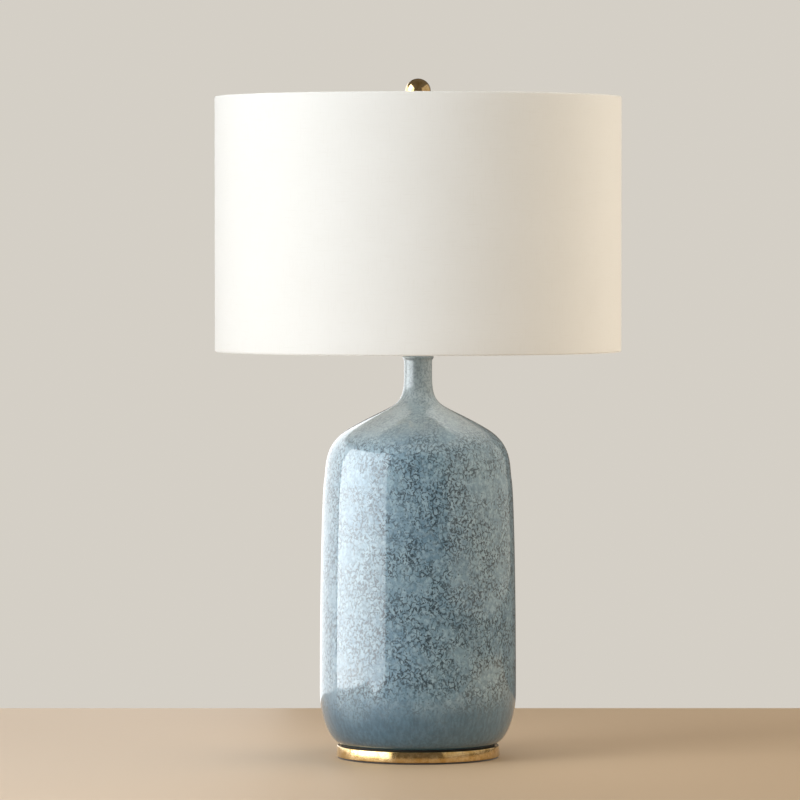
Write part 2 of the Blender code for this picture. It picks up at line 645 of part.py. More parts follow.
def make_spider_arms(fabric, hem_outer, reach, ring_height):
    """Three wires that leave the washer level and bend up to the top ring, through notches in the hem."""
    low = SPIDER_LEVEL + SPIDER_THICKNESS / 2
    bend = 26 * MM
    knots = [(reach - bend, low), (reach - bend / 2, low), (reach - bend / 2, ring_height),
             (reach, ring_height)]
    side = [(14.0 * MM + GAP, low)] + curve_points(knots, 5)
    for number, angle in enumerate(ARM_ANGLES, 1):
        turn = Matrix.Rotation(math.radians(angle), 3, "Z")
        tube(f"spider_arm_{number}", [turn @ Vector((r, 0, z)) for r, z in side], ARM_WIRE, WHITE_METAL,
             1)
        notch = block(f"hem_notch_{number}",
                      (-3 * MM, -ARM_WIRE - GAP, -5 * MM), (3 * MM, ARM_WIRE + GAP, 1.6 * MM))
        notch.location = turn @ Vector((hem_outer - 1.5 * MM, 0, ring_height - 1.6 * MM))
        notch.rotation_euler.z = math.radians(angle)
        boolean(fabric, notch)


# ---------------------------------------------------------------- the finial
def make_finial():
    """A brass ball on a collar, bored to take the harp's stud."""
    bore = STUD_RADIUS + GAP
    bottom = SPIDER_LEVEL + SPIDER_THICKNESS + GAP
    collar_top = bottom + 6.4 * MM
    outline = [
        (bore, collar_top), (6.2 * MM, collar_top), (5.6 * MM, bottom + 4.0 * MM),
        (6.6 * MM, bottom + 2.6 * MM), (9.0 * MM, bottom + 1.8 * MM), (9.0 * MM, bottom), (bore, bottom),
    ]
    turned("finial_collar", outline, BRASS, SMALL_ROUND)

    flat = collar_top + GAP
    centre = flat + 11.0 * MM
    start = -math.degrees(math.asin((centre - flat) / FINIAL_RADIUS))
    ball = arc((0, centre), FINIAL_RADIUS, 90, start, 11)
    ball[0] = (0, ball[0][1])
    depth = SEAT_TOP + 15.5 * MM
    turned("finial_ball", ball + [(bore, flat), (bore, depth), (0, depth)], BRASS, MEDIUM_ROUND,
           solid=True)


# ---------------------------------------------------------------- the lamp
for existing in list(bpy.data.objects):
    bpy.data.objects.remove(existing)

PARTS = new_collection("table_lamp")
CUTTERS = new_collection("cutters")

GLAZE = new_material("glaze", (0.16, 0.27, 0.34), 0.12)
BRASS = new_material("brass", (0.72, 0.47, 0.17), 0.22, 1.0)
BRASS_HARDWARE = new_material("brass_hardware", (0.70, 0.50, 0.22), 0.32, 1.0)
STEEL = new_material("steel", (0.55, 0.55, 0.54), 0.35, 1.0)
WHITE_METAL = new_material("white_metal", (0.80, 0.79, 0.76), 0.40)
LINEN = new_material("linen", (0.84, 0.81, 0.75), 0.90)
STYRENE = new_material("styrene", (0.86, 0.85, 0.81), 0.45)
FELT = new_material("felt", (0.03, 0.03, 0.03), 0.95)
RUBBER = new_material("rubber", (0.03, 0.03, 0.03), 0.70)
NYLON = new_material("nylon", (0.55, 0.42, 0.22), 0.50)
PHENOLIC = new_material("phenolic", (0.05, 0.04, 0.035), 0.45)
FIBRE = new_material("fibre", (0.60, 0.48, 0.33), 0.85)
BLACK_PLASTIC = new_material("black_plastic", (0.03, 0.03, 0.03), 0.40)
WHITE_PLASTIC = new_material("white_plastic", (0.82, 0.82, 0.80), 0.35)
DIFFUSER = new_material("diffuser", (0.90, 0.89, 0.86), 0.40)
BOARD = new_material("board", (0.70, 0.72, 0.70), 0.50)

make_base()
make_body()
make_neck()
make_socket()
make_switch()
make_bulb()
make_harp()
make_shade()
make_finial()
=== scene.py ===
"""Looks for a table lamp: its visible pieces in fine mesh, their finishes, a plain studio and the camera.

Metres, +Z up, in the lamp's own frame. The front is -Y, and Z is the axis of everything turned.
"""

import json
import math

import bmesh
import bpy
from mathutils import Matrix, Vector, noise
from mathutils.geometry import interpolate_bezier


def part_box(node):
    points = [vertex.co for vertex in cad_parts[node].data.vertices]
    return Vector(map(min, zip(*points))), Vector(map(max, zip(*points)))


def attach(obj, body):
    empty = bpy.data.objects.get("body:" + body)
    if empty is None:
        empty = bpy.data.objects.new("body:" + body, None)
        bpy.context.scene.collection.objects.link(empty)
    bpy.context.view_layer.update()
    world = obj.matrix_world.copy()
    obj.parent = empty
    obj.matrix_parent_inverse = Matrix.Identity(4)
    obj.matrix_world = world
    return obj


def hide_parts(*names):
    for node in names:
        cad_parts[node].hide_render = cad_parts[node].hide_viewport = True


MM = 0.001
BULB_THREAD_PITCH = 3.629 * MM  # an E26 cap has seven threads to the inch
FINIAL_THREAD_PITCH = 25.4 * MM / 27

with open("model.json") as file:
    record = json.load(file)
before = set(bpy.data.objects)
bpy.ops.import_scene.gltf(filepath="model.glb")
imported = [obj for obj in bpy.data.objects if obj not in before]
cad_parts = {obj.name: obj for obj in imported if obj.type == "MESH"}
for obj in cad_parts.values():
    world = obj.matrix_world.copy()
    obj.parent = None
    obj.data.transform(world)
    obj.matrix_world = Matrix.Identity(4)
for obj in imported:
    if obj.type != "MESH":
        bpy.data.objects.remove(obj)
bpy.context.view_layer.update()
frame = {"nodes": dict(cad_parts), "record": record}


# ---------------------------------------------------------------- places, read from the frame
def bottom(node):
    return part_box(node)[0][2]


def top(node):
    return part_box(node)[1][2]


def reach(node):
    """The outer radius of a node that is turned about Z."""
    low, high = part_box(node)
    return (high[0] - low[0]) / 2


def middle(node):
    low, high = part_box(node)
    return (Vector(low) + Vector(high)) / 2


PIPE_HOLE = reach("lamp_pipe") + 0.3 * MM
SHADE_RADIUS = reach("shade_fabric")


# ---------------------------------------------------------------- shaping
def object_from(name, bm):
    mesh = bpy.data.meshes.new(name)
    bm.to_mesh(mesh)
    bm.free()
    obj = bpy.data.objects.new(name, mesh)
    bpy.context.scene.collection.objects.link(obj)
    return shaded(obj)


def shaded(obj):
    """The object shaded smooth, with its real corners kept sharp."""
    obj.data.shade_smooth()
    obj.data.set_sharp_from_angle(angle=math.radians(38))
    return obj


def curve_points(knots, per_span):
    """Points along a chain of cubic Bezier spans: knots holds anchor, handle, handle, anchor, and so on."""
    found = [Vector((*knots[0], 0))]
    for first in range(0, len(knots) - 3, 3):
        anchors = [Vector((*knot, 0)) for knot in knots[first : first + 4]]
        found += interpolate_bezier(*anchors, per_span + 1)[1:]
    return [(point.x, point.y) for point in found]


def arc(centre, radius, start, end, count):
    """Points (radius, height) on an arc, with its angles in degrees."""
    angles = [math.radians(start + (end - start) * i / (count - 1)) for i in range(count)]
    return [(centre[0] + radius * math.cos(a), centre[1] + radius * math.sin(a)) for a in angles]


def offset_inwards(points, distance):
    """An outline that runs down its outer side, moved towards the axis by a wall's thickness."""
    moved = []
    for i, (r, z) in enumerate(points):
        before = points[max(i - 1, 0)]
        after = points[min(i + 1, len(points) - 1)]
        along = Vector((after[0] - before[0], after[1] - before[1])).normalized()
        moved.append((r + along.y * distance, z - along.x * distance))
    return moved


def softened(outline, radius, solid=False):
    """The outline with each sharp corner rounded off, as cast, turned and pressed pieces have them."""
    found = []
    last = len(outline) - 1
    for i, corner in enumerate(outline):
        here = Vector(corner)
        before = Vector(outline[i - 1])
        after = Vector(outline[(i + 1) % len(outline)])
        arriving, leaving = here - before, after - here
        on_axis = solid and i in (0, last)
        if on_axis or arriving.angle(leaving, 0) < math.radians(30):
            found.append(corner)
            continue
        cut = min(radius, 0.4 * arriving.length, 0.4 * leaving.length)
        start, end = here - arriving.normalized() * cut, here + leaving.normalized() * cut
        for t in (0, 1 / 3, 2 / 3, 1):
            found.append(tuple(start * (1 - t) ** 2 + here * 2 * t * (1 - t) + end * t**2))
    return found


def lathe(name, outline, steps=96, solid=False, shape=None):
    """A piece turned about Z, whose outline runs down its outer side, then up its bore.

    A solid piece has no bore, and its outline starts and ends on the axis. shape(angle, r, z) gives the
    radius and height that a point takes, for threads, flutes and seams.
    """
    bm = bmesh.new()
    last = len(outline) - 1
    rows = []
    for i, (r, z) in enumerate(outline):
        if solid and i in (0, last):
            rows.append([bm.verts.new((0, 0, z))] * steps)
            continue
        row = []
        for step in range(steps):
            angle = 2 * math.pi * step / steps
            there, height = shape(angle, r, z) if shape else (r, z)
            row.append(bm.verts.new((there * math.cos(angle), there * math.sin(angle), height)))
        rows.append(row)
    if not solid:
        rows.append(rows[0])
    for upper, lower in zip(rows, rows[1:]):
        for s in range(steps):
            after = (s + 1) % steps
            ring = [upper[s], lower[s], lower[after], upper[after]]
            bm.faces.new(list(dict.fromkeys(ring)))
    return object_from(name, bm)


def wire(name, points, radius):
    """A round wire along points, with closed ends, as a mesh."""
    curve = bpy.data.curves.new(name, "CURVE")
    curve.dimensions = "3D"
    curve.bevel_depth = radius
    curve.bevel_resolution = 5
    curve.use_fill_caps = True
    spline = curve.splines.new("POLY")
    spline.points.add(len(points) - 1)
    for point, place in zip(spline.points, points):
        point.co = (*place, 1)
    return as_mesh(curve)


def bar(name, outline, half_width):
    """A strip whose edge has that outline in the XZ plane."""
    curve = bpy.data.curves.new(name, "CURVE")
    curve.dimensions = "2D"
    curve.fill_mode = "BOTH"
    curve.extrude = half_width
    spline = curve.splines.new("POLY")
    spline.points.add(len(outline) - 1)
    for point, (x, z) in zip(spline.points, outline):
        point.co = (x, z, 0, 1)
    spline.use_cyclic_u = True
    made = as_mesh(curve)
    made.data.transform(Matrix.Rotation(math.pi / 2, 4, "X"))
    return made


def as_mesh(curve):
    """A curve turned into a closed mesh. The curve is used up."""
    holder = bpy.data.objects.new(curve.name, curve)
    bpy.context.scene.collection.objects.link(holder)
    bpy.context.view_layer.update()
    mesh = bpy.data.meshes.new_from_object(holder.evaluated_get(bpy.context.evaluated_depsgraph_get()))
    name = curve.name
    bpy.data.objects.remove(holder)
    bpy.data.curves.remove(curve)
    bm = bmesh.new()
    bm.from_mesh(mesh)
    bpy.data.meshes.remove(mesh)
    bmesh.ops.remove_doubles(bm, verts=bm.verts, dist=0.001 * MM)
    bmesh.ops.recalc_face_normals(bm, faces=bm.faces)
    return object_from(name, bm)


def block(low, high):
    bm = bmesh.new()
    low, high = Vector(low), Vector(high)
    size = Matrix.Diagonal((*(high - low), 1))
    bmesh.ops.create_cube(bm, matrix=Matrix.Translation((low + high) / 2) @ size)
    return object_from("tool", bm)


def rod(low, high, radius, sides=32):
    """A plain cylinder between two points, as a tool to cut or join with."""
    low, high = Vector(low), Vector(high)
    bm = bmesh.new()
    length = (high - low).length
    bmesh.ops.create_cone(bm, cap_ends=True, segments=sides, radius1=radius, radius2=radius, depth=length)
    turn = Vector((0, 0, 1)).rotation_difference(high - low).to_matrix().to_4x4()
    bmesh.ops.transform(bm, matrix=Matrix.Translation((low + high) / 2) @ turn, verts=bm.verts)
    return object_from("tool", bm)


def applied(obj):
    """The object with its modifiers made part of its mesh."""
    bpy.context.view_layer.update()
    mesh = bpy.data.meshes.new_from_object(obj.evaluated_get(bpy.context.evaluated_depsgraph_get()))
    old = obj.data
    obj.modifiers.clear()
    obj.data = mesh
    bpy.data.meshes.remove(old)
    return shaded(obj)


def combined(obj, tool, operation="DIFFERENCE"):
    """The object with the tool cut from it or joined to it. The tool is used up."""
    modifier = obj.modifiers.new(operation, "BOOLEAN")
    modifier.operation = operation
    modifier.object = tool
    applied(obj)
    bpy.data.objects.remove(tool)
    return obj


def edges_rounded(obj, width):
    modifier = obj.modifiers.new("Edges", "BEVEL")
    modifier.width = width
    modifier.segments = 2
    modifier.limit_method = "ANGLE"
    modifier.angle_limit = math.radians(40)
    return applied(obj)


def helix(pitch, depth, low, high):
    """A rolled thread's shape between two heights, for lathe.

    It cuts in from the radius by depth, or stands out from it where depth is negative.
    """
    run_out = pitch / 2

    def shape(angle, r, z):
        fade = min(max((z - low) / run_out, 0), 1) * min(max((high - z) / run_out, 0), 1)
        wave = (1 + math.cos(2 * math.pi * z / pitch - angle)) / 2
        return r - depth * fade * wave, z

    return shape


def levels(low, high, count):
    """Heights evenly spaced from low to high."""
    return [low + (high - low) * i / (count - 1) for i in range(count)]


# ---------------------------------------------------------------- finishes
class Field:
    """A value that changes over a surface. Arithmetic on it adds the Math nodes that work it out."""

    def __init__(self, finish, socket):
        self.finish = finish
        self.socket = socket

    def math(self, operation, *values):
        return self.finish.node("ShaderNodeMath", {"operation": operation}, dict(enumerate(values)))

    def __add__(self, other):
        return self.math("ADD", self, other)

    def __sub__(self, other):
        return self.math("SUBTRACT", self, other)

    def __rsub__(self, other):
        return self.math("SUBTRACT", other, self)

    def __mul__(self, other):
        return self.math("MULTIPLY", self, other)

    __radd__ = __add__
    __rmul__ = __mul__

    def most(self, other):
        return self.math("MAXIMUM", self, other)

    def sine(self):
        return self.math("SINE", self)

    def rise(self, low, high):
        """0 where the value is under low, 1 where it is over high, and smooth between."""
        return self.finish.node(
            "ShaderNodeMapRange",
            {"interpolation_type": "SMOOTHSTEP"},
            {"Value": self, "From Min": low, "From Max": high},
        )


class Finish:
    """A material. Each call adds a node and gives its output back as a Field."""

    def __init__(self, name, constants):
        self.material = bpy.data.materials.new(name)
        self.material.use_nodes = True
        self.tree = self.material.node_tree
        self.shader = self.tree.nodes["Principled BSDF"]
        for socket, value in constants.items():
            self.shader.inputs[socket].default_value = value

    def node(self, kind, settings, inputs, output=0):
        made = self.tree.nodes.new(kind)
        for name, value in settings.items():
            setattr(made, name, value)
        for key, value in inputs.items():
            if isinstance(value, Field):
                self.tree.links.new(value.socket, made.inputs[key])
            else:
                made.inputs[key].default_value = value
        return Field(self, made.outputs[output])

    def drive(self, socket, field):
        self.tree.links.new(field.socket, self.shader.inputs[socket])

    def place(self):
        return self.node("ShaderNodeTexCoord", {}, {}, "Object")

    def part(self, vector, axis):
        return self.node("ShaderNodeSeparateXYZ", {}, {0: vector}, axis)

    def stretched(self, vector, scale):
        return self.node("ShaderNodeVectorMath", {"operation": "MULTIPLY"}, {0: vector, 1: scale})

    def shifted(self, vector, other):
        return self.node("ShaderNodeVectorMath", {"operation": "ADD"}, {0: vector, 1: other})

    def vector(self, x, y, z):
        return self.node("ShaderNodeCombineXYZ", {}, {0: x, 1: y, 2: z})

    def noise(self, vector, scale, detail=2.0, roughness=0.5, output="Fac"):
        """Noise from 0 to 1. scale is in features per metre."""
        inputs = {"Vector": vector, "Scale": scale, "Detail": detail, "Roughness": roughness}
        return self.node("ShaderNodeTexNoise", {}, inputs, output)

    def cells(self, vector, scale, feature):
        """The distance to the nearest cell's edge or middle, by feature. scale is in cells per metre."""
        inputs = {"Vector": vector, "Scale": scale}
        return self.node("ShaderNodeTexVoronoi", {"feature": feature}, inputs, "Distance")

    def blend(self, amount, first, second):
        """A colour between two others."""
        first, second = [(*c, 1) if isinstance(c, tuple) else c for c in (first, second)]
        settings = {"data_type": "RGBA", "clamp_factor": True}
        return self.node("ShaderNodeMix", settings, {0: amount, 6: first, 7: second}, 2)

    def around(self, vector):
        """The angle round Z in turns, from -0.5 to 0.5, with its join at the back."""
        x, y = self.part(vector, "X"), self.part(vector, "Y")
        return x.math("ARCTAN2", x, y * -1) * (0.5 / math.pi)

    def relief(self, height, depth, strength):
        """Bump whose height field of 0 to 1 stands for that depth in metres."""
        inputs = {"Height": height, "Distance": depth, "Strength": strength}
        self.drive("Normal", self.node("ShaderNodeBump", {}, inputs))


def speckled_glaze():
    """A glossy blue-grey reactive glaze.

    Dark beads gather in curled, broken chains round paler cells. The colour pools smooth, with short
    runs, above the foot, and is darkened there too as painted shade where the foot turns under. It thins
    out to plain grey-blue on the shoulder, and is palest on the neck; both are also lightened as a painted
    reflection of the lit shade above them.
    """
    gloss = {"IOR": 1.65, "Coat Weight": 1.0, "Coat Roughness": 0.05, "Coat IOR": 1.6}
    made = Finish("speckled_glaze", gloss)
    here = made.place()
    height = made.part(here, "Z")
    sway = made.noise(here, 28, 2)
    # foot: where the bottle turns under, for the pooled glaze and the painted shade that darkens it
    foot = 1 - (height + (sway - 0.5) * 0.05).rise(0.038, 0.080)
    shoulder = (height + (sway - 0.5) * 0.03).rise(0.300, 0.338)
    neck = height.rise(0.325, 0.365)

    warp = made.stretched(made.noise(here, 170, 2, 0.6, "Color"), (0.0060, 0.0060, 0.0060))
    flowing = made.shifted(made.stretched(here, (1, 1, 0.8)), warp)
    walls = 1 - made.cells(flowing, 230, "DISTANCE_TO_EDGE").rise(0.04, 0.25)
    beads = made.noise(flowing, 500, 1, 0.5).rise(0.38, 0.54)
    gathered = made.noise(here, 42, 3, 0.6).rise(0.34, 0.56)
    chains = walls * beads * (gathered * 0.78 + 0.22)
    specks = 1 - made.cells(flowing, 330, "F1").rise(0.15, 0.34)
    loose = specks * made.noise(here, 90, 2).rise(0.36, 0.56)
    dark = chains.most(loose * 0.85) * (1 - foot * 0.80) * (1 - shoulder * 0.60)

    runs = made.noise(made.stretched(here, (1, 1, 0.16)), 330, 2, 0.6).rise(0.35, 0.70)
    grain = made.noise(here, 420, 2, 0.7).rise(0.30, 0.72)
    curds = made.cells(flowing, 240, "SMOOTH_F1").rise(0.20, 0.62)
    cloud = made.noise(made.stretched(here, (1, 1, 0.7)), 48, 3, 0.55).rise(0.34, 0.66)
    drift = made.noise(here, 11, 2).rise(0.35, 0.65)

    blue = made.blend(drift, (0.110, 0.212, 0.300), (0.128, 0.228, 0.300))
    pale = made.blend(drift, (0.240, 0.375, 0.465), (0.262, 0.388, 0.455))
    colour = made.blend((1 - curds) * 0.45 + cloud * 0.35 + grain * 0.20, blue, pale)
    colour = made.blend(grain * (1 - curds) * 0.45 * (1 - foot), colour, (0.38, 0.50, 0.58))
    # The glaze's own darker pooling, made darker still as painted shade where the foot turns under.
    pooled = made.blend(runs, (0.024, 0.098, 0.168), (0.052, 0.150, 0.235))
    colour = made.blend(foot * 0.9, colour, pooled)
    # The paler shoulder is partly thin glaze and partly a painted reflection of the lit shade above.
    worn = made.blend(grain, (0.240, 0.310, 0.350), (0.345, 0.415, 0.440))
    colour = made.blend(shoulder * 0.75, colour, worn)
    # The paler neck is partly thin glaze and partly a painted reflection of the lit shade above.
    colour = made.blend(neck * 0.45, colour, (0.44, 0.55, 0.60))
    colour = made.blend(dark, colour, (0.012, 0.036, 0.056))
    made.drive("Base Color", colour)
    made.drive("Roughness", 0.42 + dark * 0.08 + grain * 0.06)
    ripple = made.noise(here, 95, 2, 0.4)
    pebbles = made.noise(here, 300, 2, 0.5) * shoulder * (1 - height.rise(0.320, 0.340))
    made.relief(ripple * 0.75 + pebbles * 1.3 + grain * 0.07 - dark * 0.10, 0.35 * MM, 0.5)
    return made.material


def gilt_brass():
    """Brass under rubbed gold leaf: warm, mottled, with fine scratches and darker worn patches."""
    made = Finish("gilt_brass", {"Metallic": 1.0})
    here = made.place()
    leaf = made.noise(here, 120, 4, 0.65).rise(0.32, 0.68)
    worn = made.noise(made.stretched(here, (1, 1, 1.6)), 260, 3, 0.7).rise(0.56, 0.76)
    creases = 1 - made.cells(made.stretched(here, (1, 1, 0.6)), 95, "DISTANCE_TO_EDGE").rise(0.0, 0.05)
    colour = made.blend(leaf, (0.60, 0.40, 0.15), (0.82, 0.62, 0.34))
    colour = made.blend(worn * 0.55, colour, (0.30, 0.15, 0.05))
    colour = made.blend(creases * 0.35, colour, (0.46, 0.25, 0.08))
    made.drive("Base Color", colour)
    made.drive("Roughness", 0.10 + leaf * 0.06 + worn * 0.12)
    scratches = made.noise(made.stretched(here, (1, 1, 26)), 180, 2, 0.7)
    made.relief(scratches * 0.35 + worn * 0.3 + creases * 0.3, 0.06 * MM, 0.5)
    return made.material


def drawn_brass():
    """Plain brass fittings, rolled and drawn, with a thin lacquer that has dulled."""
    made = Finish("drawn_brass", {"Metallic": 1.0})
    here = made.place()
    lines = made.noise(made.stretched(here, (1, 1, 30)), 240, 3, 0.7)
    dulled = made.noise(here, 160, 3, 0.6).rise(0.40, 0.75)
    colour = made.blend(dulled, (0.74, 0.53, 0.24), (0.52, 0.36, 0.15))
    made.drive("Base Color", colour)
    made.drive("Roughness", 0.24 + lines * 0.12 + dulled * 0.12)
    made.relief(lines, 0.03 * MM, 0.4)
    return made.material


def plated_steel():
    """Bright plated steel with fine rolling lines and a few dull spots."""
    made = Finish("plated_steel", {"Metallic": 1.0})
    here = made.place()
    lines = made.noise(made.stretched(here, (1, 1, 24)), 300, 3, 0.7)
    spots = made.noise(here, 210, 3, 0.6).rise(0.5, 0.8)
    made.drive("Base Color", made.blend(spots * 0.6, (0.62, 0.62, 0.62), (0.40, 0.39, 0.37)))
    made.drive("Roughness", 0.22 + lines * 0.14 + spots * 0.14)
    made.relief(lines, 0.03 * MM, 0.4)
    return made.material


def white_enamel():
    """Thick white paint on wire, slightly uneven."""
    made = Finish("white_enamel", {"Coat Weight": 0.3, "Coat Roughness": 0.2})
    here = made.place()
    film = made.noise(here, 420, 3, 0.6)
    made.drive("Base Color", made.blend(film, (0.80, 0.785, 0.75), (0.86, 0.85, 0.82)))
    made.drive("Roughness", 0.34 + film * 0.12)
    made.relief(film, 0.05 * MM, 0.5)
    return made.material


def shade_linen():
    """Fine off-white cloth, threads upright and round the drum, with the odd thicker thread."""
    nap = {"Sheen Weight": 0.25, "Sheen Roughness": 0.5, "Specular IOR Level": 0.25}
    made = Finish("shade_linen", nap)
    here = made.place()
    height = made.part(here, "Z")
    girth = made.around(here) * (2 * math.pi * SHADE_RADIUS)
    thread = 0.62 * MM
    wobble = made.noise(made.vector(girth, height, 0.0), 60, 2) * (0.8 * thread)
    upright, level = [((way + wobble) * (2 * math.pi / thread)).sine() for way in (girth, height)]
    weave = upright * level * 0.5 + 0.5
    slub_up = made.noise(made.vector(girth, height * 0.05, 0.0), 950, 2, 0.6).rise(0.52, 0.80)
    slub_round = made.noise(made.vector(girth * 0.05, height, 3.0), 950, 2, 0.6).rise(0.52, 0.80)
    slubs = slub_up.most(slub_round)
    tone = made.noise(made.vector(girth, height, 7.0), 18, 2)
    colour = made.blend(tone, (0.865, 0.850, 0.815), (0.900, 0.888, 0.860))
    colour = made.blend(weave * 0.35, colour, (0.94, 0.93, 0.905))
    colour = made.blend(slubs * 0.30, colour, (0.80, 0.775, 0.725))
    made.drive("Base Color", colour)
    made.drive("Roughness", 0.86 + tone * 0.08)
    made.relief(weave * 0.6 + slubs * 0.4, 0.10 * MM, 0.35)
    return made.material


def styrene_sheet():
    """The stiff white sheet inside the shade: smooth, with a faint yellow cast and slight ripples."""
    made = Finish("styrene_sheet", {"IOR": 1.55})
    here = made.place()
    tone = made.noise(here, 22, 2)
    ripple = made.noise(made.stretched(here, (1, 1, 0.35)), 30, 2)
    dust = made.noise(here, 900, 2, 0.7).rise(0.66, 0.82)
    colour = made.blend(tone, (0.865, 0.855, 0.820), (0.900, 0.895, 0.870))
    made.drive("Base Color", made.blend(dust * 0.25, colour, (0.70, 0.68, 0.64)))
    made.drive("Roughness", 0.36 + tone * 0.10 + dust * 0.2)
    made.relief(ripple, 0.6 * MM, 0.25)
    return made.material


def pressed_felt():
    """Black felt, matted in places."""
    nap = {"Sheen Weight": 0.5, "Sheen Roughness": 0.6, "Specular IOR Level": 0.2}
    made = Finish("pressed_felt", nap)
    here = made.place()
    fuzz = made.noise(here, 1500, 4, 0.8)
    matted = made.noise(here, 240, 3, 0.6)
    colour = made.blend(fuzz, (0.012, 0.012, 0.013), (0.055, 0.052, 0.050))
    made.drive("Base Color", made.blend(matted * 0.4, colour, (0.035, 0.030, 0.028)))
    made.drive("Roughness", 0.90 + matted * 0.08)
    made.relief(fuzz * 0.7 + matted * 0.3, 0.5 * MM, 0.8)
    return made.material


def moulded(name, dark, pale, roughness, texture=700):
    """A moulded plastic or rubber: two near tones, an even gloss and a fine moulded skin."""
    made = Finish(name, {"IOR": 1.5})
    here = made.place()
    skin = made.noise(here, texture, 3, 0.6)
    tone = made.noise(here, 60, 2)
    made.drive("Base Color", made.blend(tone * 0.6 + skin * 0.4, dark, pale))
    made.drive("Roughness", roughness + skin * 0.12)
    made.relief(skin, 0.04 * MM, 0.5)
    return made.material


def pressed_fibre():
    """Brown pressed fibre with its strands lying flat."""
    made = Finish("pressed_fibre", {"Specular IOR Level": 0.3})
    here = made.place()
    strands = made.noise(made.stretched(here, (1, 1, 5)), 500, 4, 0.7)
    made.drive("Base Color", made.blend(strands, (0.46, 0.34, 0.21), (0.66, 0.53, 0.37)))
    made.drive("Roughness", 0.80 + strands * 0.12)
    made.relief(strands, 0.08 * MM, 0.6)
    return made.material


def circuit_board():
    """A white solder mask with a few plain copper runs showing under it."""
    made = Finish("circuit_board", {"Coat Weight": 0.2, "Coat Roughness": 0.3})
    here = made.place()
    runs = 1 - made.cells(here, 260, "DISTANCE_TO_EDGE").rise(0.05, 0.12)
    film = made.noise(here, 500, 2)
    made.drive("Base Color", made.blend(runs * 0.5, (0.72, 0.74, 0.72), (0.60, 0.56, 0.44)))
    made.drive("Roughness", 0.40 + film * 0.12)
    made.relief(runs, 0.05 * MM, 0.5)
    return made.material


FINISHES = {
    "glaze": speckled_glaze(),
    "brass": gilt_brass(),
    "brass_hardware": drawn_brass(),
    "steel": plated_steel(),
    "white_metal": white_enamel(),
    "linen": shade_linen(),
    "styrene": styrene_sheet(),
    "felt": pressed_felt(),
    "rubber": moulded("black_rubber", (0.012, 0.012, 0.012), (0.035, 0.034, 0.033), 0.62),
    "nylon": moulded("gold_nylon", (0.42, 0.29, 0.11), (0.56, 0.41, 0.18), 0.38),
    "phenolic": moulded("phenolic", (0.028, 0.021, 0.017), (0.060, 0.046, 0.038), 0.34, 420),
    "fibre": pressed_fibre(),
    "black_plastic": moulded("black_plastic", (0.012, 0.012, 0.012), (0.030, 0.029, 0.028), 0.30, 900),
    "white_plastic": moulded("white_plastic", (0.78, 0.775, 0.75), (0.85, 0.845, 0.825), 0.32, 500),
    "diffuser": moulded("frosted_diffuser", (0.84, 0.83, 0.79), (0.90, 0.89, 0.86), 0.42, 1100),
    "board": circuit_board(),
}


def add(piece, body, slot, *replaced):
    """Puts a piece on its body with its finish, in place of the plain solids that it stands for."""
    piece.data.materials.clear()
    piece.data.materials.append(FINISHES[slot])
    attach(piece, body)
    if replaced:
        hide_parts(*replaced)
    return piece


# ---------------------------------------------------------------- base
def make_base():
    """The felt, the gilt plinth with its hole for the cord, and the bushing in that hole."""
    low, high, edge = bottom("felt_pad"), top("felt_pad"), reach("felt_pad")

    def trimmed(angle, r, z):
        """The cut edge of felt, which is never quite even."""
        ragged = noise.noise(Vector((40 * math.cos(angle), 40 * math.sin(angle), z * 900)))
        return (r + ragged * 0.18 * MM if r > edge - MM else r), z

    outline = softened([(0, high), (edge, high), (edge, low), (0, low)], 0.3 * MM, solid=True)
    add(lathe("felt_disc", outline, 240, solid=True, shape=trimmed), "stand", "felt", "felt_pad")

    low, high, rim = bottom("base_plinth"), top("base_plinth"), reach("base_plinth")
    wall, round_over = 2.0 * MM, 1.0 * MM
    lean = 1.1 * MM  # the side is a little narrower at the top
    outline = [(PIPE_HOLE, high)]
    outline += arc((rim - lean - round_over, high - round_over), round_over, 90, 0, 7)
    outline += arc((rim - round_over, low + round_over), round_over, 0, -90, 7)
    outline += [(rim - wall, low), (rim - wall, high - wall), (PIPE_HOLE, high - wall)]
    plinth = lathe("gilt_plinth", outline, 288)
    inlet_level, inlet_hole = middle("cable_bushing").z, 4.1 * MM
    hole = rod((0, rim - 3 * wall, inlet_level), (0, rim + wall, inlet_level), inlet_hole)
    add(combined(plinth, hole), "stand", "brass", "base_plinth")

    root, tip = [corner[1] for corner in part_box("cable_bushing")]
    length, bore, flange, flange_thick = tip - root, 3.2 * MM, 4.9 * MM, 1.5 * MM
    sleeve = inlet_hole - 0.1 * MM
    outline = softened([
        (bore, 0), (flange, 0), (flange, -flange_thick), (sleeve, -flange_thick),
        (sleeve, -length), (bore, -length),
    ], 0.5 * MM)
    bushing = lathe("cord_bushing", outline, 64)
    facing_back = Matrix.Rotation(-math.pi / 2, 4, "X")
    bushing.data.transform(Matrix.Translation((0, tip, inlet_level)) @ facing_back)
    add(bushing, "stand", "nylon", "cable_bushing")


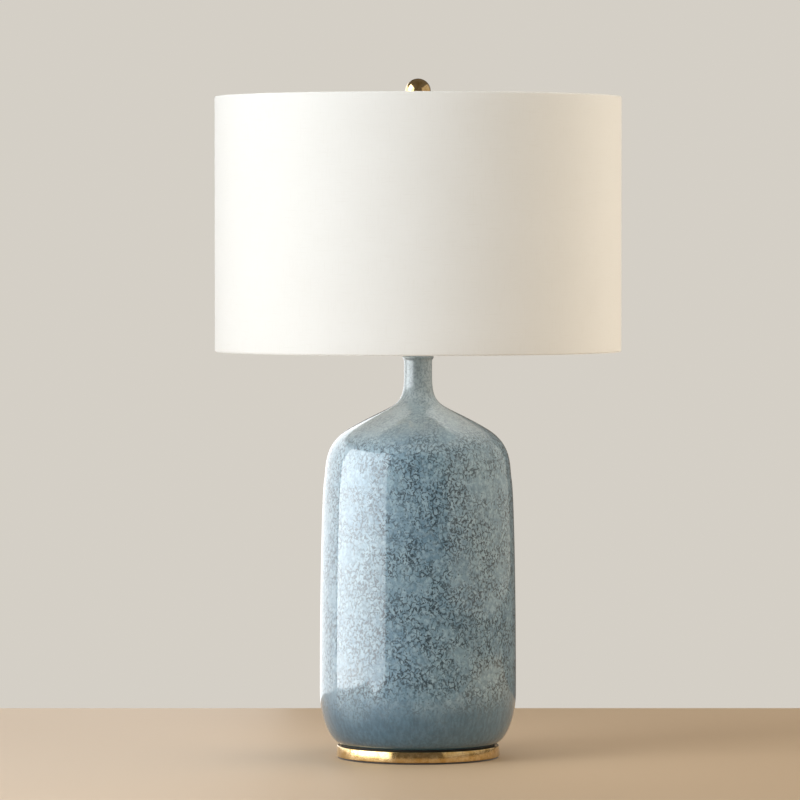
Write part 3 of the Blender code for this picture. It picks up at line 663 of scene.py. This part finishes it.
def make_body():
    """The bottle: straight sides that turn in softly at the shoulder and the foot, and a rolled lip."""
    foot, lip_top = bottom("ceramic_body"), top("ceramic_body")
    widest = reach("ceramic_body")
    neck, lip, roll, wall = 14.0 * MM, 15.6 * MM, 1.8 * MM, 4.8 * MM
    foot_radius = 77.5 * MM
    knots = [
        (neck, 368.0 * MM), (neck, 333.0 * MM), (24.0 * MM, 341.5 * MM), (69.0 * MM, 314.5 * MM),
        (95.0 * MM, 299.0 * MM), (91.3 * MM, 277.0 * MM), (93.6 * MM, 264.0 * MM),
        (95.9 * MM, 251.0 * MM), (widest, 155.0 * MM), (widest, 53.0 * MM),
        (widest, 16.0 * MM), (84.0 * MM, 1.0 * MM), (foot_radius, 0),
    ]
    side = [(r, z + foot) for r, z in curve_points(knots, 26)]
    outer = arc((lip - roll, lip_top - roll), roll, 90, -42, 14)
    under_lip = outer[-1][1]
    ease = [
        outer[-1], (neck + 0.2 * MM, under_lip - MM), (neck, under_lip - 2 * MM), (neck, under_lip - 4 * MM),
    ]
    outer += curve_points(ease, 6)[1:] + side
    inner = offset_inwards([(r, z + foot) for r, z in curve_points(knots, 8)], wall)[:-1]
    floor, foot_hole = foot + wall, 20.0 * MM
    inner += [(foot_radius - 2 * MM, floor), (foot_hole, floor), (foot_hole, foot)]
    bore = neck - wall
    outline = outer + inner[::-1] + [(bore, lip_top - MM), (bore + MM, lip_top)]
    add(lathe("glazed_bottle", outline, 320), "stand", "glaze", "ceramic_body")


def make_neck_fittings():
    """The brass cap on the lip, and the saddle with its two half-lapped posts."""
    low, high, rim = bottom("neck_cap"), top("neck_cap"), reach("neck_cap")
    half = (high - low) / 2
    outline = [(PIPE_HOLE, high)] + arc((rim - half, low + half), half, 90, -90, 15) + [(PIPE_HOLE, low)]
    add(lathe("neck_cap_ring", outline, 96), "stand", "brass", "neck_cap")

    low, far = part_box("harp_saddle")
    side, half_width, thick, bend = far[0], far[1], 1.8 * MM, 6.0 * MM
    base, shoulder = low[2], low[2] + 7.7 * MM
    right = arc((side - bend, base + bend), bend, -90, 0, 14)
    right += [(side, shoulder), (side - thick, shoulder)]
    right += arc((side - bend, base + bend), bend - thick, 0, -90, 14)
    strip = bar("saddle_strip", right + [(-x, z) for x, z in right[::-1]], half_width)
    edges_rounded(strip, 0.35 * MM)
    combined(strip, rod((0, 0, base - MM), (0, 0, base + 2 * thick), PIPE_HOLE))
    post_x = side - thick / 2
    post, lap_gap = 1.6 * MM, 0.15 * MM
    lap_low = bottom("harp_wire") - 0.3 * MM
    for way in (-1, 1):
        stem = rod((way * post_x, 0, shoulder - 2 * MM), (way * post_x, 0, far[2]), post)
        combined(strip, stem, "UNION")
        near, beyond = way * (post_x - lap_gap), way * (post_x + 5 * MM)
        half_lap = block((min(near, beyond), -5 * MM, lap_low), (max(near, beyond), 5 * MM, far[2] + MM))
        combined(strip, half_lap)
    add(strip, "stand", "brass_hardware", "harp_saddle")


# ---------------------------------------------------------------- lamp holder
def make_holder():
    """The flared cap and the beaded shell of the lamp holder, and the screw lining inside them."""
    low, high, wide = bottom("socket_cap"), top("socket_cap"), reach("socket_cap")
    hub, wall = 7.6 * MM, 0.8 * MM
    hub_top = low + 4.6 * MM
    flare = curve_points([
        (wide, high - 5 * MM), (wide, hub_top + 3 * MM), (hub + 4 * MM, hub_top + MM), (hub, hub_top),
    ], 16)
    bead = arc((wide - 0.4 * MM, high - 3 * MM), 0.8 * MM, 60, -60, 9)
    outline = [(wide - 0.1 * MM, high)] + [(min(r, wide), z) for r, z in bead] + flare
    outline += [(hub, low), (PIPE_HOLE, low), (PIPE_HOLE, hub_top + wall)]
    outline += [(r - wall, z + wall) for r, z in flare[-2::-1]] + [(wide - wall, high)]
    cup = lathe("holder_cap", softened(outline, 0.3 * MM), 96)
    screw = middle("socket_set_screw")
    combined(cup, rod((0, 5 * MM, screw.z), (0, 12 * MM, screw.z), 1.5 * MM))
    add(cup, "stand", "brass_hardware", "socket_cap")

    low, high, rim = bottom("socket_shell"), top("socket_shell"), reach("socket_shell")
    wall = 0.6 * MM
    outer = [(rim - 0.9 * MM, high)] + arc((rim - 0.6 * MM, high - 0.6 * MM), 0.6 * MM, 60, 0, 5)
    for from_top in (5, 8, 30):  # the rolled beads, in mm below the rim
        outer += [(rim, high - (from_top - 1) * MM)]
        outer += [(rim - 0.25 * MM, high - from_top * MM), (rim, high - (from_top + 1) * MM)]
    outer += [(rim, low)]
    inner = [(rim - wall, low), (rim - wall, high - 1.2 * MM), (rim - 1.2 * MM, high - 0.6 * MM)]
    shell = lathe("holder_shell", softened(outer + inner, 0.3 * MM), 96)
    half_width, spindle_level = 3.5 * MM, middle("switch_spindle").z
    notch = block((-half_width, -20 * MM, low - MM), (half_width, -10 * MM, spindle_level + 4 * MM))
    add(combined(shell, notch), "stand", "brass_hardware", "socket_shell")

    low, high = bottom("screw_shell"), top("screw_shell")
    bore, wall, floor_hole = reach("bulb_screw_cap") + 0.25 * MM, 0.4 * MM, 6.5 * MM
    heights = levels(high, low + 2 * wall, 60)
    rolled = helix(BULB_THREAD_PITCH, -0.35 * MM, low + MM, high)

    def threaded(angle, r, z):
        return rolled(angle, r, z) if r > 12 * MM else (r, z)

    outline = [(bore + wall, z) for z in heights] + [(bore + wall, low), (floor_hole, low)]
    outline += [(floor_hole, low + wall)] + [(bore, z) for z in heights[::-1]]
    lining = lathe("screw_lining", outline, 96, shape=threaded)
    add(lining, "stand", "brass_hardware", "screw_shell")


def make_switch():
    """The spindle, and a fluted knob on it."""
    low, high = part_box("switch_spindle")
    level = middle("switch_spindle").z
    spindle = edges_rounded(rod((0, low[1], level), (0, high[1], level), 2.0 * MM, 48), 0.3 * MM)
    spindle.name = "knob_spindle"
    add(spindle, "switch", "brass_hardware", "switch_spindle")

    face, root = [corner[1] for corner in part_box("switch_knob")]
    length, bore, depth, skirt = root - face, 2.3 * MM, 3.8 * MM, 3.6 * MM
    grip = curve_points([
        (5.6 * MM, length - 1.2 * MM), (6.1 * MM, length - 3 * MM), (5.6 * MM, 5 * MM), (4.6 * MM, 3 * MM),
    ], 12)
    dished = length - 0.5 * MM
    outline = [(0, dished), (3.4 * MM, dished), (4.4 * MM, length)]
    outline += grip + [(skirt, 2 * MM), (skirt, 0), (bore, 0), (bore, depth), (0, depth)]
    flutes = 18

    def fluted(angle, r, z):
        """Shallow flutes round the grip alone."""
        cut = 0.35 * MM * (0.5 + 0.5 * math.cos(flutes * angle))
        return (r - cut if r > 4.5 * MM and z > 3.2 * MM else min(r, 6 * MM)), z

    outline = softened(outline, 0.4 * MM, solid=True)
    knob = lathe("turn_knob", outline, flutes * 8, solid=True, shape=fluted)
    facing_front = Matrix.Rotation(math.pi / 2, 4, "X")
    knob.data.transform(Matrix.Translation((0, root, level)) @ facing_front)
    add(knob, "switch", "black_plastic", "switch_knob")


# ---------------------------------------------------------------- bulb
def make_bulb():
    """The bulb's tip, black glass, threaded cap, housing and frosted globe."""
    low, high, rim = bottom("bulb_tip"), top("bulb_tip"), reach("bulb_tip")
    outline = [(0, high), (rim, high)]
    outline += curve_points([
        (rim, high - 0.4 * MM), (rim - 0.3 * MM, low + 0.5 * MM), (2 * MM, low), (0, low),
    ], 10)
    add(lathe("tip_contact", outline, 48, solid=True), "bulb_foot", "steel", "bulb_tip")

    low, high, rim = bottom("bulb_insulator"), top("bulb_insulator"), reach("bulb_insulator")
    outline = [(0, high), (rim, high), (rim - 1.5 * MM, low + 1.6 * MM), (7 * MM, low), (0, low)]
    outline = softened(outline, 0.5 * MM, solid=True)
    add(lathe("black_glass", outline, 64, solid=True), "bulb", "black_plastic", "bulb_insulator")

    low, high, rim = bottom("bulb_screw_cap"), top("bulb_screw_cap"), reach("bulb_screw_cap")
    wall, thread_depth = 0.5 * MM, 0.85 * MM
    foot = rim - 1.2 * MM
    heights = levels(high - 1.2 * MM, low + 2 * MM, 84)
    rolled = helix(BULB_THREAD_PITCH, thread_depth, low + 1.5 * MM, high - 1.5 * MM)

    def threaded(angle, r, z):
        return rolled(angle, r, z) if r > rim - 0.2 * MM else (r, z)

    outline = [(rim - wall, high), (rim - 0.15 * MM, high)] + [(rim, z) for z in heights]
    outline += [(foot, low), (foot - wall, low)]
    outline += [(rim - wall - thread_depth, z) for z in heights[::12][::-1]]
    add(lathe("threaded_cap", outline, 96, shape=threaded), "bulb", "steel", "bulb_screw_cap")

    globe = reach("bulb_diffuser")
    centre = top("bulb_diffuser") - globe
    joint_angle = -42
    joint = arc((0, centre), globe, joint_angle, 0, 2)[0]
    lean = Vector((-math.sin(math.radians(joint_angle)), math.cos(math.radians(joint_angle))))
    low, wall = bottom("bulb_housing"), 1.4 * MM
    narrow = rim + 0.3 * MM
    handle = Vector(joint) - lean * 12 * MM
    side = curve_points([joint, tuple(handle), (narrow, low + 11 * MM), (narrow, low)], 28)
    inner = offset_inwards(side, wall)[1:-1]
    outline = side + [(narrow - wall, low)] + inner[::-1] + [(joint[0] - 1.8 * MM, joint[1])]
    add(lathe("bulb_collar", softened(outline, 0.3 * MM), 96), "bulb", "white_plastic", "bulb_housing")

    last_angle = joint_angle + 0.8  # a hair's gap above the housing
    skin = arc((0, centre), globe, 90, last_angle, 48)
    hollow = arc((0, centre), globe - 1.2 * MM, last_angle, 90, 24)
    outline = [(0, skin[0][1])] + skin[1:] + hollow[:-1] + [(0, hollow[-1][1])]
    add(lathe("frosted_globe", outline, 96, solid=True), "bulb", "diffuser", "bulb_diffuser")


# ---------------------------------------------------------------- harp
def make_harp():
    """The bent wire with its half-lapped feet, the post with its seat and stud, and the lock sleeves."""
    low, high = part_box("harp_wire")
    wire_radius = high[1]
    widest = high[0] - wire_radius
    crown = high[2] - wire_radius
    foot_x = middle("harp_sleeve_right").x
    lap_low = low[2]
    lap_top = lap_low + 8 * MM
    straight_top = lap_top + 20 * MM
    wide_level = 520.0 * MM
    knots = [
        (0, crown), (4 * MM, crown), (8 * MM, crown), (12 * MM, crown),
        (44 * MM, crown), (widest, crown - 50 * MM), (widest, wide_level),
        (widest, wide_level - 44 * MM), (foot_x, straight_top + 26 * MM), (foot_x, straight_top),
    ]
    half = curve_points(knots, 30)[1:] + [(foot_x, lap_low)]
    path = [(-x, 0, z) for x, z in half[::-1]] + [(0, 0, crown)] + [(x, 0, z) for x, z in half]
    harp = wire("bent_harp", path, wire_radius)
    for way in (-1, 1):
        near, beyond = way * (foot_x + 0.15 * MM), way * (foot_x - 5 * MM)
        half_lap = block((min(near, beyond), -5 * MM, lap_low - MM), (max(near, beyond), 5 * MM, lap_top))
        combined(harp, half_lap)
    add(harp, "harp", "brass_hardware", "harp_wire")

    bore, tube, flared = 2.0 * MM, 3.0 * MM, 3.6 * MM
    for side_name, way in (("left", -1), ("right", 1)):
        node = f"harp_sleeve_{side_name}"
        low, high = bottom(node), top(node)
        outline = softened([
            (bore, high), (tube, high), (tube, low + 2 * MM), (flared, low + 0.8 * MM),
            (flared, low), (bore, low),
        ], 0.3 * MM)
        sleeve = lathe(f"lock_sleeve_{side_name}", outline, 48)
        sleeve.data.transform(Matrix.Translation((way * foot_x, 0, 0)))
        add(sleeve, f"sleeve_{side_name}", "brass_hardware", node)

    stud, seat, hub = 3.05 * MM, reach("harp_post"), 5.0 * MM
    low, high = bottom("harp_post"), top("harp_post")
    seat_top = bottom("spider_washer") - 0.3 * MM
    seat_under = seat_top - 1.5 * MM
    cut = helix(FINIAL_THREAD_PITCH, 0.45 * MM, seat_top + 0.3 * MM, high + MM)

    def threaded(angle, r, z):
        return cut(angle, r, z) if z > seat_top + 0.1 * MM else (r, z)

    heights = levels(high - 0.7 * MM, seat_top + 0.2 * MM, 96)
    outline = [(0, high), (stud - 0.6 * MM, high)] + [(stud, z) for z in heights]
    outline += softened([
        (stud, seat_top), (seat, seat_top), (seat, seat_under), (hub, seat_under), (hub, low), (0, low),
    ], 0.3 * MM)[4:-4]
    outline += [(hub, low + 0.4 * MM), (hub - 0.4 * MM, low), (0, low)]
    post = lathe("harp_stud", outline, 64, solid=True, shape=threaded)
    combined(post, rod((-8 * MM, 0, crown), (8 * MM, 0, crown), wire_radius + 0.1 * MM))
    add(post, "harp", "brass_hardware", "harp_post")


# ---------------------------------------------------------------- shade
def make_shade():
    """Cloth over a stiff liner, two wire rings in its turned hems, and the spider that hangs it."""
    low, high = bottom("shade_fabric"), top("shade_fabric")
    rim, cloth = SHADE_RADIUS, 0.5 * MM
    hem, round_ring = 8.0 * MM, 4 * MM  # the turn-in at each rim, and what goes round its wire
    ring_wire, roll = 1.1 * MM, 1.7 * MM
    hem_outer = reach("shade_top_ring") - 2 * ring_wire - 0.3 * MM
    lap = 12 * MM  # the cut edge, glued over the other one at the back
    lap_step = 0.45 * MM

    def glued_lap(angle, r, z):
        """One layer more over the lap, with a step at its free edge, and hems that are not quite level."""
        past_back = (angle - math.pi / 2) * r
        step = lap_step if -lap < past_back < 0 else 0.0
        wave = noise.noise(Vector((6 * math.cos(angle), 6 * math.sin(angle), 60 * z))) * 0.15 * MM
        if hem_outer - MM < r < hem_outer + MM:
            return r, z + (wave * 4 if low + MM < z < high - MM else 0)
        return r + (step - lap_step if r > rim - 2 * cloth else 0.0) + min(wave, 0), z

    outer = arc((rim - roll, high - roll), roll, 90, 0, 9)
    outer += [(rim, z) for z in levels(low, high, 13)[11:0:-1]]
    outer += arc((rim - roll, low + roll), roll, 0, -90, 9)
    hem_inner = hem_outer - cloth
    inner = [
        (hem_inner + 0.4 * MM, low), (hem_inner, low + 0.5 * MM), (hem_inner, low + hem),
        (hem_outer, low + hem), (hem_outer, low + cloth + 0.3 * MM),
        (hem_outer + 0.4 * MM, low + cloth), (rim - roll, low + cloth),
    ]
    inner += arc((rim - roll, low + roll), roll - cloth, -80, 0, 6)
    inner += arc((rim - roll, high - roll), roll - cloth, 0, 80, 6)
    inner += [
        (rim - roll, high - cloth), (hem_outer + 0.4 * MM, high - cloth),
        (hem_outer, high - cloth - 0.3 * MM), (hem_outer, high - hem),
        (hem_inner, high - hem), (hem_inner, high - 0.5 * MM), (hem_inner + 0.4 * MM, high),
    ]
    drum = lathe("drum_cloth", outer + inner, 720, shape=glued_lap)
    add(drum, "shade", "linen", "shade_fabric")

    low, high, edge = bottom("shade_liner"), top("shade_liner"), reach("shade_liner")
    thick = 0.8 * MM

    def lapped(angle, r, z):
        """The liner's own lap, on its inner face at the back."""
        past_back = (angle - math.pi / 2) * r
        return (r - lap_step if -lap < past_back < lap and r < edge - thick / 2 else r), z

    heights = levels(low, high, 13)
    outline = [(edge - lap_step, z) for z in heights[::-1]] + [(edge - thick, z) for z in heights]
    add(lathe("liner_sheet", outline, 480, shape=lapped), "shade", "styrene", "shade_liner")

    for node, name in (("shade_top_ring", "top_ring"), ("shade_bottom_ring", "bottom_ring")):
        level = middle(node).z
        outline = arc((reach(node) - ring_wire, level), ring_wire, 180, -180, 17)[:-1]
        add(lathe(name, outline, 360), "shade", "white_metal", node)
    make_spider(hem_outer, reach("shade_top_ring") - ring_wire, middle("shade_top_ring").z)


def make_spider(hem_outer, ring_radius, ring_level):
    """A pressed washer with three wires welded to it, each bent up to meet the top ring."""
    low, high, rim = bottom("spider_washer"), top("spider_washer"), reach("spider_washer")
    hole = 5.5 * MM
    outline = softened([(hole, high), (rim, high), (rim, low), (hole, low)], 0.5 * MM)
    add(lathe("spider_disc", outline, 96), "shade", "white_metal", "spider_washer")
    wire_radius = 1.2 * MM
    level = (low + high) / 2
    bend = 26 * MM
    near_ring = hem_outer - 0.5 * MM
    knots = [
        (near_ring - bend, level), (near_ring - bend / 2, level),
        (near_ring - bend / 2, ring_level), (near_ring, ring_level),
    ]
    side = [(rim - 0.6 * MM, level)] + curve_points(knots, 20) + [(ring_radius - 0.4 * MM, ring_level)]
    for number in (1, 2, 3):
        node = f"spider_arm_{number}"
        angle = math.atan2(middle(node).y, middle(node).x)
        turn = Matrix.Rotation(angle, 3, "Z")
        arm = wire(f"spider_wire_{number}", [turn @ Vector((r, 0, z)) for r, z in side], wire_radius)
        add(arm, "shade", "white_metal", node)


def make_finial():
    """The gilt ball and the collar it stands on."""
    low, high, foot = bottom("finial_collar"), top("finial_collar"), reach("finial_collar")
    bore, shoulder, waist = 3.35 * MM, 6.2 * MM, 5.2 * MM
    spread = (7.6 * MM, low + 2.2 * MM)
    outline = [(bore, high), (shoulder, high)]
    outline += curve_points([
        (shoulder, high), (waist, high - 1.5 * MM), (waist, low + 3.6 * MM), spread,
    ], 10)[1:]
    outline += curve_points([
        spread, (8.6 * MM, low + 2.0 * MM), (foot, low + 1.6 * MM), (foot, low + MM),
    ], 6)[1:]
    outline += [(foot, low), (bore, low)]
    add(lathe("finial_foot_ring", softened(outline, 0.3 * MM), 96), "finial_foot", "brass", "finial_collar")

    flat, high, radius = bottom("finial_ball"), top("finial_ball"), reach("finial_ball")
    centre = high - radius
    start = -math.degrees(math.asin((centre - flat) / radius))
    ball = arc((0, centre), radius, 90, start, 60)
    depth = top("harp_post") + MM
    outline = [(0, high)] + ball[1:] + [(bore, flat), (bore, depth), (0, depth)]
    add(lathe("gilt_ball", outline, 128, solid=True), "finial", "brass", "finial_ball")


make_base()
make_body()
make_neck_fittings()
make_holder()
make_switch()
make_bulb()
make_harp()
make_shade()
make_finial()

# The pieces that stay as they are in the frame take the finish of their slot.
for part in frame["record"]["subparts"]:
    node = frame["nodes"][part["node"]]
    for slot in node.material_slots:
        slot.material = FINISHES[part["material_slot"]]


# ---------------------------------------------------------------- studio
def pale_floor():
    """A plain pale wood with a trace of grain, for what the lamp stands on."""
    made = Finish("pale_floor", {"Specular IOR Level": 0.25})
    grain = made.noise(made.stretched(made.place(), (0.25, 3, 1)), 26, 4, 0.6)
    colour = (0.58, 0.43, 0.285)
    paler = tuple(value * 1.06 for value in colour)
    made.drive("Base Color", made.blend(grain, colour, paler))
    made.drive("Roughness", 0.50 + grain * 0.08)
    return made.material


LIT_HEIGHT = 0.32  # what a glow is aimed at: the shoulder of the bottle


def softbox(name, use, azimuth, distance, height, size, power, colour, shift=0, spread=180):
    """A soft area light that does half of a lamp's or a window's work, so that each half can be set.

    use is "glow" for the light that it throws and "glint" for its reflection alone. A glow is aimed at
    the bottle, and a glint stands upright. Azimuth 0 is in front of the lamp and 90 at the viewer's
    right. shift slides the light along its own width, and spread is the angle that it fans out to.
    """
    data = bpy.data.lights.new(name, "AREA")
    data.shape = "RECTANGLE"
    data.size, data.size_y = size
    data.energy = power
    data.color = colour
    data.spread = math.radians(spread)
    light = bpy.data.objects.new(name, data)
    bpy.context.scene.collection.objects.link(light)
    around = math.radians(azimuth)
    outward = Vector((math.sin(around), -math.cos(around), 0))
    aside = Vector((math.cos(around), math.sin(around), 0))
    light.location = outward * distance + aside * shift + Vector((0, 0, height))
    facing = outward * -distance + Vector((0, 0, LIT_HEIGHT - height if use == "glow" else 0))
    light.rotation_euler = facing.to_track_quat("-Z", "Y").to_euler()
    light.visible_camera = False
    light.visible_glossy = use == "glint"
    light.visible_diffuse = use == "glow"
    return light


def make_floor():
    """A table top that ends a little way behind the lamp."""
    bm = bmesh.new()
    bmesh.ops.create_grid(bm, x_segments=1, y_segments=1, size=1)
    floor = object_from("floor", bm)
    half_width, half_depth = 1.5, 0.55
    floor.scale = (half_width, half_depth, 1)
    floor.data.materials.append(pale_floor())


def make_room():
    """A dim warm room round the lamp, with a plain wall as what is seen behind it."""
    world = bpy.data.worlds.new("studio")
    bpy.context.scene.world = world
    world.use_nodes = True
    tree = world.node_tree
    room = tree.nodes["Background"]
    room.inputs["Color"].default_value = (1.0, 0.88, 0.74, 1)
    room.inputs["Strength"].default_value = 0.15
    backdrop = tree.nodes.new("ShaderNodeBackground")
    backdrop.inputs["Color"].default_value = (0.66, 0.625, 0.565, 1)
    seen = tree.nodes.new("ShaderNodeLightPath")
    either = tree.nodes.new("ShaderNodeMixShader")
    tree.links.new(seen.outputs["Is Camera Ray"], either.inputs[0])
    tree.links.new(room.outputs[0], either.inputs[1])
    tree.links.new(backdrop.outputs[0], either.inputs[2])
    tree.links.new(either.outputs[0], tree.nodes["World Output"].inputs["Surface"])


def make_lights():
    """A window at the left, a warm wall at the right, and soft light from the front and behind."""
    daylight, lamplight = (0.95, 0.98, 1.0), (1.0, 0.92, 0.78)
    cool, warm, near_white = (0.90, 0.96, 1.0), (1.0, 0.98, 0.92), (1.0, 0.975, 0.94)
    softbox("window", "glint", -98, 0.9, 0.75, (1.7, 1.6), 30, daylight, shift=0.72, spread=145)
    softbox("window_glow", "glow", -90, 1.1, 0.8, (1.7, 1.6), 5, daylight, shift=0.75)
    softbox("far_wall", "glint", -139, 0.75, 0.45, (0.9, 1.0), 5, daylight)
    softbox("near_wall", "glint", 88, 1.4, 0.92, (3.7, 1.7), 9, lamplight)
    softbox("near_wall_glow", "glow", 95, 1.4, 0.8, (2.6, 1.7), 22, lamplight)
    softbox("key", "glow", -54, 2.6, 1.2, (1.6, 1.6), 48, cool)
    softbox("fill", "glow", 0, 3.0, 0.9, (2.2, 1.8), 20, warm)
    softbox("back", "glow", 175, 2.6, 1.0, (2.0, 1.8), 16, near_white)
    # Above the shade's opening and facing down: it stands in for what the pale liner throws about.
    over_shade = softbox("shade_glow", "glow", 0, 0.001, 0.820, (0.32, 0.32), 0.9, (1.0, 0.97, 0.93))
    over_shade.rotation_euler = (0, 0, 0)


def make_camera():
    """A long lens just under the level of the shade's middle, so the drum's rims are near straight lines."""
    data = bpy.data.cameras.new("camera")
    data.sensor_width, data.lens = 36, 238
    data.clip_end = 60
    camera = bpy.data.objects.new("camera", data)
    bpy.context.scene.collection.objects.link(camera)
    aside, away, height, tipped_down = -0.018, 5.28, 0.518, 1.743
    camera.location = (aside, -away, height)
    camera.rotation_euler = (math.radians(90 - tipped_down), 0, 0)
    bpy.context.scene.camera = camera


make_floor()
make_room()
make_lights()
make_camera()
bpy.context.scene.view_settings.view_transform = "Standard"
